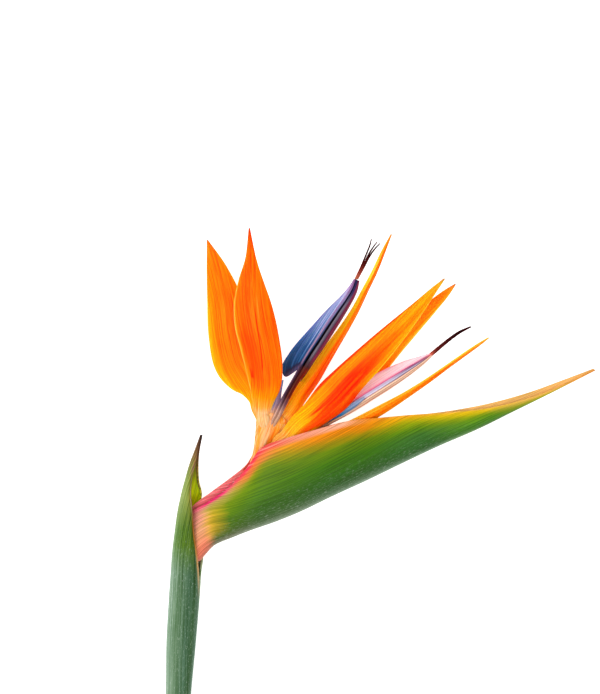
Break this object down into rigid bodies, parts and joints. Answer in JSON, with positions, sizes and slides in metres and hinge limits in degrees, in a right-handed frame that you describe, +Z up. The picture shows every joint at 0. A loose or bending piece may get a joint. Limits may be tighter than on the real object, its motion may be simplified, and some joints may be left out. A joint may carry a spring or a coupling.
{
  "type": "bird of paradise flower",
  "caption": "Cut bird of paradise flower lying on its side: a boat-shaped bract on a sheathed stem, with fans of pointed orange sepals and blue arrow petals.",
  "frame": {"origin": "on the surface that the flower lies on, under the middle of its outline", "axes": "+Y along the length, away from the cut end of the stem; +X towards the tip of the boat-shaped bract; +Z up from the surface"},
  "size_m": [0.1983, 0.3, 0.0286],
  "materials": {
    "stem": "fleshy green stalk under a thin grey bloom, matte",
    "sheath": "thin leathery green bract with a grey bloom and an orange-brown margin, matte",
    "spathe": "stiff waxy bract, green with a yellow to orange-red margin and a pink base, satin",
    "floret_base": "fleshy peach-coloured tube with orange lines, satin",
    "sepal": "thin smooth orange sepal with fine lengthwise veins, satin",
    "arrow_petals": "thin blue to lilac petals grown together round a groove, satin",
    "hood_petal": "thin lilac petal with a blue edge, satin",
    "style": "dark maroon thread-like style and stigma, matte",
    "bud": "folded pale orange petals of a closed floret, satin"
  },
  "bodies": {
    "root": {"stem": "stem", "sheath": "sheath", "spathe": "spathe", "floret_1_base": "floret_base", "floret_1_sepal_left": "sepal", "floret_1_sepal_front": "sepal", "floret_1_sepal_right": "sepal", "floret_1_arrow": "arrow_petals", "floret_1_hood": "hood_petal", "floret_1_style": "style", "floret_2_base": "floret_base", "floret_2_sepal_front": "sepal", "floret_2_sepal_behind": "sepal", "floret_2_sepal_right": "sepal", "floret_2_arrow": "arrow_petals", "floret_2_hood": "hood_petal", "floret_2_style": "style", "bud_1": "bud", "bud_2": "bud"}
  },
  "joints": []
}
